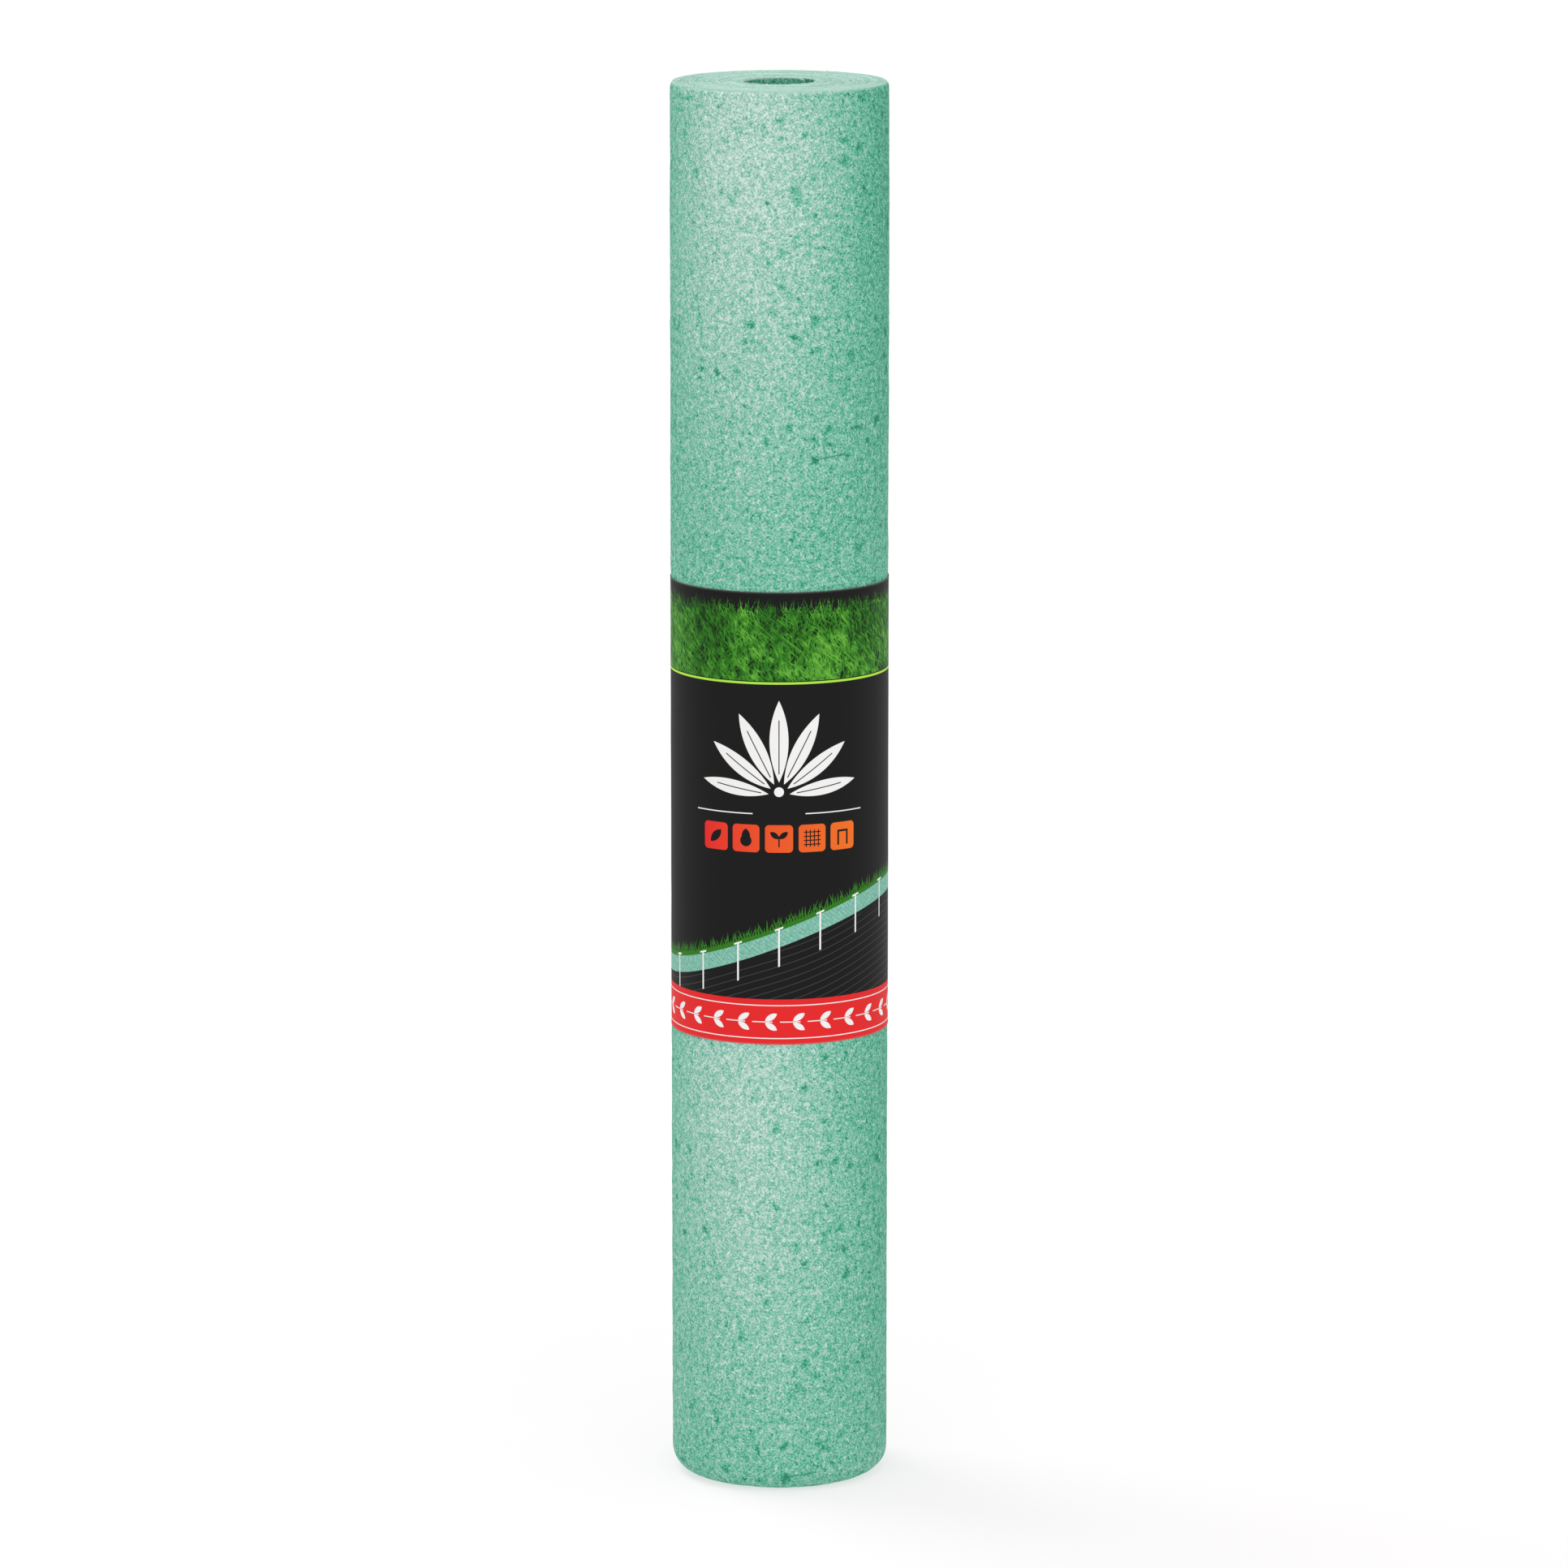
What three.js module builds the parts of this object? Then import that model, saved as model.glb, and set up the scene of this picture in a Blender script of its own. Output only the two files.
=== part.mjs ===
// A roll of grass seed mat, standing on one end, with a printed paper band round its middle.
// The mat is one long strip of mulch fibre, wound tight with no core, so its own first turn
// lines the bore. The strip's edges show as rings on both ends of the roll.
// Millimetres, +Z up along the bore. The origin is the middle of the end that it stands on.
import * as THREE from "three";

// The wound mat
const matWidth = 2032; // the strip's width, which is the height of the standing roll
const rollDiameter = 312;
const boreDiameter = 102;
const matThickness = 3; // of one turn, as wound
const turnSetBack = 1.2; // every other turn's edge lies this far inside the ends
const lowerRimRadius = 34; // the end that it stands on, rounded by weight and handling
const upperRimRadius = 5;

// The printed band
const bandWidth = 656;
const bandDrop = 24; // from the roll's mid-height down to the band's
const bandThickness = 0.4;
const bandLap = 30; // where the band's glued end lies over its start, at the back
const bandClearance = 0.3; // between the mat's outer turn and the band

const flats = 36; // flat sides that stand for a full round

const rollRadius = rollDiameter / 2;
const boreRadius = boreDiameter / 2;
const bandInnerRadius = rollRadius + bandClearance;
const bandOuterRadius = bandInnerRadius + bandThickness;

// How far a rounded rim draws an end in at radius r.
function rimInset(r, rimRadius) {
  const intoRim = Math.min(rimRadius, Math.max(0, r - rollRadius + rimRadius));
  return rimRadius - Math.sqrt(rimRadius ** 2 - intoRim ** 2);
}

// An end from the bore outwards, as [radius, inset] points: two for each turn of the mat,
// with a small step to the next turn. The outermost turn is one that stands proud.
function endOfRoll(rimRadius) {
  const turns = Math.max(1, Math.round((rollRadius - boreRadius) / matThickness));
  const turnPitch = (rollRadius - boreRadius) / turns;
  const points = [];
  for (let turn = 0; turn < turns; turn++) {
    const setBack = (turns - 1 - turn) % 2 ? turnSetBack : 0;
    const inner = boreRadius + turn * turnPitch;
    for (const r of [inner, inner + turnPitch]) {
      points.push([r, rimInset(r, rimRadius) + setBack]);
    }
  }
  return points;
}

// The mat: one turned solid with its bore.
function makeMatRoll() {
  const lowerEnd = endOfRoll(lowerRimRadius).map(([r, inset]) => new THREE.Vector2(r, inset));
  const upperEnd = endOfRoll(upperRimRadius).map(
    ([r, inset]) => new THREE.Vector2(r, matWidth - inset),
  );
  const profile = [...lowerEnd, ...upperEnd.reverse(), lowerEnd[0]];
  const mulchMat = new THREE.MeshStandardMaterial({
    color: 0x8cc1ae,
    roughness: 0.95,
    metalness: 0,
  });
  const mat = new THREE.Mesh(new THREE.LatheGeometry(profile, flats), mulchMat);
  mat.name = "mat_roll";
  mat.rotation.x = Math.PI / 2; // the lathe's own axis is Y
  return mat;
}

// The point of a flat-sided round of this corner radius that lies at an angle from +X.
function onFlats(cornerRadius, angle) {
  const flatAngle = (2 * Math.PI) / flats;
  const fromFlatMiddle = angle - (Math.floor(angle / flatAngle + 1e-9) + 0.5) * flatAngle;
  const r = (cornerRadius * Math.cos(flatAngle / 2)) / Math.cos(fromFlatMiddle);
  return new THREE.Vector2(r * Math.cos(angle), r * Math.sin(angle));
}

// The corner angles of a full round, in order, that lie between two angles.
function cornerAngles(from, to) {
  return Array.from({ length: flats }, (_, corner) => (corner * 2 * Math.PI) / flats).filter(
    (angle) => angle > from + 1e-6 && angle < to - 1e-6,
  );
}

// The band: a strip of paper closed round the roll, twice as thick at its glued lap.
function makeLabelBand() {
  const lapMiddle = Math.PI / 2; // the back of the roll, +Y
  const lapHalfAngle = bandLap / 2 / bandOuterRadius;
  const lapStart = lapMiddle - lapHalfAngle;
  const lapEnd = lapMiddle + lapHalfAngle;
  const single = (angle) => onFlats(bandOuterRadius, angle);
  const double = (angle) => onFlats(bandOuterRadius + bandThickness, angle);
  const outline = new THREE.Shape([
    single(0),
    ...cornerAngles(0, lapStart).map(single),
    single(lapStart),
    double(lapStart),
    ...cornerAngles(lapStart, lapEnd).map(double),
    double(lapEnd),
    single(lapEnd),
    ...cornerAngles(lapEnd, 2 * Math.PI).map(single),
  ]);
  const inside = (angle) => onFlats(bandInnerRadius, angle);
  outline.holes.push(new THREE.Path([0, ...cornerAngles(0, 2 * Math.PI)].map(inside)));

  const printedPaper = new THREE.MeshStandardMaterial({
    color: 0x1c1d1c,
    roughness: 0.6,
    metalness: 0,
  });
  const band = new THREE.Mesh(
    new THREE.ExtrudeGeometry(outline, { depth: bandWidth, bevelEnabled: false }),
    printedPaper,
  );
  band.name = "label_band";
  band.position.z = matWidth / 2 - bandDrop - bandWidth / 2;
  return band;
}

const roll = new THREE.Group();
roll.add(makeMatRoll(), makeLabelBand());

export default roll;
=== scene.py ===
"""A roll of grass seed mat that stands on one end, with a printed paper band round its middle.

The mat is one long strip of felted mulch fibre, wound with no core. Its turns are lofted along
the spiral that it is wound on: the inner turns, which show only by their edges, the innermost
turn, which lines the bore and ends in a loose flap, and the outer turn, whose face is the side
of the roll. Short fibres lie on the felt, and a strip of printed paper is glued round it.

Metres, +Z up along the bore, with the front of the roll towards -Y.
"""

from __future__ import annotations

import logging
from dataclasses import dataclass, field
from enum import Enum

import bpy
import numpy as np
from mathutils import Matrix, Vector

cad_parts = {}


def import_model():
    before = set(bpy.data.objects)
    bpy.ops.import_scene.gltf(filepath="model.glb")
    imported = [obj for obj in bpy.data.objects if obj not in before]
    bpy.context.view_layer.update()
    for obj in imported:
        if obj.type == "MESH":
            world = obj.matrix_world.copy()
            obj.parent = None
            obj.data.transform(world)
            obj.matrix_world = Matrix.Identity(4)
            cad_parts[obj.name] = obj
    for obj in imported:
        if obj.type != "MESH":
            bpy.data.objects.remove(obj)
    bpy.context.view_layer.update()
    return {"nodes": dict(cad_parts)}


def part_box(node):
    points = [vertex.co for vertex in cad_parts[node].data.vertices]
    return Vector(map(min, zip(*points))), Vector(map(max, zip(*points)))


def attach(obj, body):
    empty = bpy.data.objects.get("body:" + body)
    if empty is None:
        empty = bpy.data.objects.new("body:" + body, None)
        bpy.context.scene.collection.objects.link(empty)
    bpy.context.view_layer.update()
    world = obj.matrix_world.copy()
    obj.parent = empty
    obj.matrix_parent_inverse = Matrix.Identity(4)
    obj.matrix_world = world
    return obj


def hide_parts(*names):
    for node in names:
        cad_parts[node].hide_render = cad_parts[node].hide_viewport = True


LOG = logging.getLogger("roll")

MM = 0.001
FULL_TURN = 2.0 * np.pi
FRONT = 1.5 * np.pi  # azimuth of the side that faces the camera, from +X round towards +Y
STRIP_MAP = "strip"  # the pieces' UV map, in metres along and across the strip
HOLLOW_SHADE = "hollow_shade"  # how much painted shade a point takes, from 0 to 1: how deep in a hollow of the felt it lies, and a little on the face that lines the bore
EDGE = "edge"  # how near to a cut edge a point lies, from 0 to 1
SHADE = "shade"  # how pale a loose fibre is, from 0 to 1
LATTICE = 256  # random numbers along each side of the noise's table
SHARP_ANGLE = np.radians(48.0)

Colour = tuple[float, float, float]


def smooth_step(value: np.ndarray, low: float, high: float) -> np.ndarray:
    """Rises from 0 at low to 1 at high, as three t squared less two t cubed.

    Args:
        value: Numbers to place between low and high.
        low: Where the step starts.
        high: Where the step ends.

    Returns:
        The step's height at each value.
    """
    t = np.clip((value - low) / (high - low), 0.0, 1.0)
    return t * t * (3.0 - 2.0 * t)


def smooth_noise(x: np.ndarray, y: np.ndarray | float, seed: int, octaves: int = 2) -> np.ndarray:
    """Random numbers on a unit lattice, blended between its points with a smooth step.

    Each octave has twice the frequency and half the height of the one before.

    Args:
        x: First coordinate, in lattice steps.
        y: Second coordinate, in lattice steps.
        seed: Which table of random numbers to use.
        octaves: How many sizes of noise to add.

    Returns:
        Values between about -1 and 1.
    """
    table = np.random.default_rng(seed).uniform(-1.0, 1.0, (LATTICE, LATTICE))
    total = np.zeros(np.broadcast(x, y).shape)
    for octave in range(octaves):
        across = np.asarray(x) * 2.0**octave + 17.3 * octave
        along = np.asarray(y) * 2.0**octave + 31.7 * octave
        i, j = np.floor(across).astype(int), np.floor(along).astype(int)
        s, t = smooth_step(across - i, 0.0, 1.0), smooth_step(along - j, 0.0, 1.0)
        i0, i1, j0, j1 = i % LATTICE, (i + 1) % LATTICE, j % LATTICE, (j + 1) % LATTICE
        near = table[i0, j0] * (1.0 - s) + table[i1, j0] * s
        far = table[i0, j1] * (1.0 - s) + table[i1, j1] * s
        total += (near * (1.0 - t) + far * t) / 2.0**octave
    return total


@dataclass
class Loft:
    """A closed solid made of sections that stand side by side along a path.

    Attributes:
        name: The finished piece's name.
        points: Places in metres, as (sections, points round a section, 3).
        chart: Places on the UV map in metres, as (sections, points + 1, 2). Its last column
            is the first point again, at the far side of the section's seam.
        marks: Named values for the points, as (sections, points) arrays.
    """

    name: str
    points: np.ndarray
    chart: np.ndarray
    marks: dict[str, np.ndarray] = field(default_factory=dict)

    def faces(self) -> tuple[np.ndarray, list[list[int]]]:
        """Quads from each section to the next, all the way round, and a face over each end.

        Returns:
            The quads as an (n, 4) array, and the two end faces.
        """
        sections, around = self.points.shape[:2]
        corner = np.arange(sections * around).reshape(sections, around)
        beside = np.roll(corner, -1, axis=1)
        sides = np.stack([corner[:-1], beside[:-1], beside[1:], corner[1:]], axis=-1)
        return sides.reshape(-1, 4), [corner[0, ::-1].tolist(), corner[-1].tolist()]

    def encloses(self, sides: np.ndarray) -> float:
        """Signed volume in the sides, as a sum of tetrahedra to the origin.

        Args:
            sides: The quads.

        Returns:
            The volume, which is negative where the faces point inwards.
        """
        a, b, c, d = (self.points.reshape(-1, 3)[sides[:, k]] for k in range(4))
        return float(np.einsum("ij,ij->", a, np.cross(b, c) + np.cross(c, d)) / 6.0)

    def piece(self) -> bpy.types.Object:
        """Puts the sections into a mesh with its UV map and named values.

        Returns:
            The object, linked to the scene.
        """
        sides, ends = self.faces()
        mesh = bpy.data.meshes.new(self.name)
        mesh.from_pydata(self.points.reshape(-1, 3), [], sides.tolist() + ends)
        chart = self.chart
        on_sides = [chart[:-1, :-1], chart[:-1, 1:], chart[1:, 1:], chart[1:, :-1]]
        on_ends = np.concatenate([chart[0, -2::-1], chart[-1, :-1]])
        places = np.concatenate([np.stack(on_sides, axis=2).reshape(-1, 2), on_ends])
        layer = mesh.uv_layers.new(name=STRIP_MAP)
        layer.uv.foreach_set("vector", places.ravel().astype(np.float32))
        for name, values in self.marks.items():
            mark = mesh.attributes.new(name, "FLOAT", "POINT")
            mark.data.foreach_set("value", values.ravel().astype(np.float32))
        if self.encloses(sides) < 0.0:
            mesh.flip_normals()
        mesh.polygons.foreach_set("use_smooth", np.ones(len(mesh.polygons), bool))
        mesh.set_sharp_from_angle(angle=SHARP_ANGLE)
        piece = bpy.data.objects.new(self.name, mesh)
        bpy.context.scene.collection.objects.link(piece)
        return piece


@dataclass(frozen=True)
class RollSizes:
    """Sizes of the standing roll, in metres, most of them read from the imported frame."""

    height: float
    radius: float
    bore_radius: float
    band_low: float
    band_high: float
    turn: float = 3.0 * MM  # thickness of one turn, as wound
    lower_rim: float = 34.0 * MM  # radius that rounds the end that the roll stands on

    @classmethod
    def from_frame(cls, nodes: dict[str, bpy.types.Object]) -> RollSizes:
        """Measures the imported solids.

        Args:
            nodes: The frame's nodes by name.

        Returns:
            The roll's sizes.
        """
        low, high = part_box("mat_roll")
        band_low, band_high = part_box("label_band")
        vertices = nodes["mat_roll"].data.vertices
        places = np.empty(len(vertices) * 3)
        vertices.foreach_get("co", places)
        from_axis = np.hypot(*places.reshape(-1, 3)[:, :2].T)
        return cls(high.z - low.z, high.x, float(from_axis.min()), band_low.z, band_high.z)


@dataclass(frozen=True)
class Winding:
    """The spiral that the strip is wound on, seen from above.

    A place along it is a number of turns from the inner tail. Each turn adds one thickness
    to the radius, so the roll's mean outer radius falls half a thickness inside the tail's.
    """

    sizes: RollSizes
    inner_tail: float = np.radians(38.0)
    outer_tail: float = np.radians(64.0)

    @property
    def turns(self) -> float:
        """How many turns the strip makes from its inner to its outer tail."""
        whole = round((self.sizes.radius - self.sizes.bore_radius) / self.sizes.turn)
        return whole + (self.outer_tail - self.inner_tail) / FULL_TURN

    def azimuth(self, wound: np.ndarray) -> np.ndarray:
        """Direction from the axis at a place along the spiral."""
        return self.inner_tail + FULL_TURN * wound

    def outer_face(self, wound: np.ndarray) -> np.ndarray:
        """Radius of a turn's outer face at a place along the spiral."""
        tail = self.sizes.radius + self.sizes.turn / 2.0
        return tail - self.sizes.turn * (self.turns - wound)

    def covered_by(self, wound: np.ndarray) -> np.ndarray:
        """How many turns lie over a place along the spiral."""
        return np.ceil(self.turns - 1.0 - wound)

    def strip_length(self, wound: np.ndarray) -> np.ndarray:
        """Metres of strip from the inner tail to a place along the spiral."""
        start = self.outer_face(np.zeros(1))[0] - self.sizes.turn / 2.0
        return FULL_TURN * (start * wound + self.sizes.turn * wound**2 / 2.0)


@dataclass(frozen=True)
class Crease:
    """A short crease in the outer turn: a line of painted shade with a bump, and a hollow at its lower
    end.

    Attributes:
        along: Metres round the roll from its front line to the crease's start.
        down: Metres down the strip from its top edge to the crease's start.
        length: The crease's length.
        rise: How far its other end lies above its start.
    """

    along: float
    down: float
    length: float = 47.0 * MM
    rise: float = 6.0 * MM


CREASES = (Crease(52.0 * MM, 524.0 * MM), Crease(10.0 * MM, 2009.0 * MM))


@dataclass(frozen=True)
class Pits:
    """Shallow hollows in the felt, scattered over the outer turn."""

    count: int = 2000
    least: float = 2.2 * MM  # the hollows' radii
    most: float = 6.5 * MM
    seed: int = 41

    def scatter(self, length: float, width: float, creases: np.ndarray) -> np.ndarray:
        """Chooses the hollows' places and shapes.

        Args:
            length: Length of the face that they lie on.
            width: Its width.
            creases: Places of the creases' starts, as (n, 2), where a hollow always lies.

        Returns:
            One row for each hollow: along, down, long radius, short radius, slant, depth.
        """
        rng = np.random.default_rng(self.seed)
        size = self.least + (self.most - self.least) * rng.uniform(0, 1, self.count) ** 2.2
        rows = np.column_stack(
            [
                rng.uniform(0, length, self.count),
                rng.uniform(0, width, self.count),
                size * rng.uniform(1.0, 1.7, self.count),
                size * rng.uniform(0.6, 1.0, self.count),
                rng.uniform(0, np.pi, self.count),
                0.2 + 0.8 * rng.uniform(0, 1, self.count) ** 1.8,
            ]
        )
        shape = [6.5 * MM, 5.0 * MM, 0.6, 1.0]
        at_creases = [[along, down, *shape] for along, down in creases]
        return np.vstack([rows, at_creases])

    def depth(self, rows: np.ndarray, along: np.ndarray, down: np.ndarray) -> np.ndarray:
        """Depth in the hollows over a grid: a bell on each ellipse, and the deepest one wins.

        Args:
            rows: The hollows, from scatter.
            along: The grid's first axis, evenly spaced.
            down: The grid's second axis, evenly spaced.

        Returns:
            Values from 0 to 1, as (along, down).
        """
        depth = np.zeros((len(along), len(down)))
        for u, v, long, short, slant, deep in rows:
            reach = 2.2 * long
            i = slice(*np.searchsorted(along, [u - reach, u + reach]))
            j = slice(*np.searchsorted(down, [v - reach, v + reach]))
            x, y = along[i, None] - u, down[None, j] - v
            p = (x * np.cos(slant) + y * np.sin(slant)) / long
            q = (y * np.cos(slant) - x * np.sin(slant)) / short
            depth[i, j] = np.maximum(depth[i, j], deep * np.exp(-((p * p + q * q) ** 1.4)))
        return depth


class Half(Enum):
    """The parts of the outer turn above and below the middle of the band, which hides their joint."""

    UPPER = "outer_turn_upper"
    LOWER = "outer_turn_lower"


@dataclass(frozen=True)
class OuterTurn:
    """The last turn of the strip, whose face is the side of the roll.

    It runs straight down, then round the lower rim and under the roll. Its end at the back
    is the outer tail, one thickness proud of the turn below.
    """

    winding: Winding
    pits: Pits = Pits()
    grain: float = 3.4 * MM  # spacing of the points on its face
    set_back: float = 0.8 * MM  # of its top edge from the roll's end
    rim_lean: float = 3.6 * MM  # how far its top edge leans in
    rim_depth: float = 9.0 * MM  # the height over which it leans
    last_bend: float = np.radians(88.0)  # how far it follows the lower rim
    pit_depth: float = 0.9 * MM
    taper: float = 7.0 * MM  # length of the thinned end at the tail
    loose_end: float = 70.0 * MM  # length at the tail that stands off the roll
    tail_lift: float = 3.0 * MM

    @property
    def sizes(self) -> RollSizes:
        """The roll's sizes."""
        return self.winding.sizes

    @property
    def length(self) -> float:
        """Metres round the turn."""
        return FULL_TURN * self.sizes.radius

    @property
    def straight(self) -> float:
        """Metres from the top edge down to where the lower rim starts."""
        return self.sizes.height - self.set_back - self.sizes.lower_rim

    @property
    def width(self) -> float:
        """Metres from the top edge to the edge under the roll."""
        return self.straight + self.sizes.lower_rim * self.last_bend

    @property
    def front_line(self) -> float:
        """Metres along the turn to the line that faces the camera."""
        return (FRONT - self.winding.outer_tail) * self.sizes.radius

    @property
    def band_middle(self) -> float:
        """Height of the band's middle."""
        return (self.sizes.band_low + self.sizes.band_high) / 2.0

    @property
    def half_band(self) -> float:
        """Half the band's width."""
        return (self.sizes.band_high - self.sizes.band_low) / 2.0

    def crease_starts(self) -> np.ndarray:
        """Places of the creases' starts, as (n, 2) metres along and down."""
        return np.array([[self.front_line + c.along, c.down] for c in CREASES])

    def place(self, along: np.ndarray, down: np.ndarray, proud: np.ndarray) -> np.ndarray:
        """Carries a place on the flat strip onto the roll.

        The place follows the spiral round the axis. It goes straight down at the turn's
        radius, then round a quarter circle, which is the lower rim, and never under the floor.

        Args:
            along: Metres from the turn's start.
            down: Metres from the strip's top edge.
            proud: Metres outside the turn's outer face.

        Returns:
            Points as (..., 3).
        """
        wound = self.winding.turns - 1.0 + along / self.length
        rim = self.sizes.lower_rim
        bend = np.maximum(down - self.straight, 0.0) / rim
        radius = self.winding.outer_face(wound) - rim + (rim + proud) * np.cos(bend)
        height = rim + np.maximum(self.straight - down, 0.0) - (rim + proud) * np.sin(bend)
        azimuth = self.winding.azimuth(wound)
        parts = (radius * np.cos(azimuth), radius * np.sin(azimuth), np.maximum(height, 0.0))
        return np.stack(np.broadcast_arrays(*parts), axis=-1)

    def under_band(self, down: np.ndarray) -> np.ndarray:
        """From 0 clear of the band to 1 where it presses on the felt."""
        top = self.sizes.height - self.sizes.band_high
        bottom = self.sizes.height - self.sizes.band_low
        return smooth_step(down, top - 6 * MM, top) * (1 - smooth_step(down, bottom, bottom + 6 * MM))

    def relief(self, along: np.ndarray, down: np.ndarray) -> np.ndarray:
        """How far the face swells: long waves and small lumps of noise, pressed by the band.

        Args:
            along: Metres from the turn's start.
            down: Metres from the strip's top edge.

        Returns:
            Metres outwards.
        """
        waves = 0.35 * MM * smooth_noise(along / (170 * MM), down / (210 * MM), 11)
        lumps = 0.34 * MM * smooth_noise(along / (19 * MM), down / (22 * MM), 12)
        pressed = self.under_band(down)
        return (waves + lumps) * (1.0 - pressed) - 0.5 * MM * pressed

    def tail_share(self, along: np.ndarray) -> np.ndarray:
        """From 0 before the thinned end to 1 at the tail."""
        return np.clip(1.0 - (self.length - along) / self.taper, 0.0, 1.0)

    def lift(self, along: np.ndarray, down: np.ndarray) -> np.ndarray:
        """How far the loose end stands off the roll: a parabola, held down by the band.

        Args:
            along: Metres from the turn's start.
            down: Metres from the strip's top edge.

        Returns:
            Metres outwards.
        """
        share = np.clip(1.0 - (self.length - along) / self.loose_end, 0.0, 1.0)
        from_band = np.abs(down - (self.sizes.height - self.band_middle)) - self.half_band
        free = smooth_step(from_band, 5.0 * MM, 190.0 * MM)
        free = free * (1.0 - smooth_step(down, self.straight - 60.0 * MM, self.straight))
        waving = 0.75 + 0.25 * smooth_noise(down / (130 * MM), 6.5, 24)
        return self.tail_lift * share**2 * free * waving

    def face(self, along: np.ndarray, down: np.ndarray) -> np.ndarray:
        """How proud the outer face stands, with its rim leaning in and its tail thinned.

        The rim and the tail each follow a quarter ellipse.

        Args:
            along: Metres from the turn's start.
            down: Metres from the strip's top edge.

        Returns:
            Metres outside the turn's outer face.
        """
        up_rim = np.clip(1.0 - down / self.rim_depth, 0.0, 1.0)
        lean = self.rim_lean * (1.0 - np.sqrt(1.0 - up_rim**2))
        thinned = 1.3 * MM * (1.0 - np.sqrt(1.0 - self.tail_share(along) ** 2))
        return self.relief(along, down) - lean - thinned + self.lift(along, down)

    def edge_wave(self, along: np.ndarray) -> np.ndarray:
        """How far the top edge dips along the turn, in slow waves, small nicks and two tears."""
        slow = 0.5 * MM * (1.0 + smooth_noise(along / (90 * MM), 0.5, 21))
        nicks = 0.35 * MM * smooth_noise(along / (7 * MM), 4.5, 22)
        azimuth = self.winding.outer_tail + along / self.sizes.radius
        tears = np.zeros(np.shape(along))
        for at in np.radians([80.0, 422.0]):
            tears = tears + 1.3 * MM * np.exp(-(((azimuth - at) / 0.024) ** 2))
        return slow + nicks + tears

    def piece(self, half: Half) -> bpy.types.Object:
        """Lofts one half of the turn: a section goes down the outer face and up the inner one.

        Args:
            half: Which half to make.

        Returns:
            The half as a closed solid.
        """
        joint = self.sizes.height - self.band_middle
        upper = half is Half.UPPER
        start, end = (0.0, joint) if upper else (joint, self.width)
        along = np.linspace(0.0, self.length, round(self.length / self.grain) + 1)
        outer = np.linspace(start, end, round((end - start) / self.grain) + 1)
        thick = self.sizes.turn - 0.05 * MM
        round_down = [] if upper else [0.5 * MM, 0.8 * MM, 0.5 * MM]
        round_in = [] if upper else [-0.2 * thick, -0.5 * thick, -0.8 * thick]
        inner = np.linspace(end, start, 22)
        down = np.concatenate([outer, end + np.array(round_down), inner])
        proud = np.zeros((len(along), len(down)))
        proud[:, : len(outer)] = self.face(along[:, None], outer[None, :])
        proud[:, len(outer) : -len(inner)] = round_in
        proud[:, -len(inner) :] = self.lift(along[:, None], inner[None, :]) - thick
        pits = np.zeros_like(proud)
        rows = self.pits.scatter(self.length, self.width, self.crease_starts())
        pits[:, : len(outer)] = self.pits.depth(rows, along, outer)
        proud -= self.pit_depth * pits * (1.0 - self.under_band(down))
        ragged = 1.4 * MM * smooth_noise(down / (16 * MM), 7.5, 23)
        along_at = along[:, None] + ragged[None, :] * self.tail_share(along)[:, None]
        down_at = down[None, :] + self.edge_wave(along)[:, None] * np.exp(-down / (10 * MM))
        steps = np.hypot(np.diff(down, append=down[:1]), np.diff(proud[0], append=proud[0, :1]))
        chart_down = start + np.concatenate([[0.0], np.cumsum(steps)])
        chart = np.stack(np.broadcast_arrays(along[:, None], chart_down[None, :]), axis=-1)
        edge = np.broadcast_to(np.exp(-((down / (2.2 * MM)) ** 2)), proud.shape)
        # The hollows' depths also go to the felt as painted shade.
        marks = {HOLLOW_SHADE: pits, EDGE: edge}
        return Loft(half.value, self.place(along_at, down_at, proud), chart, marks).piece()


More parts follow.
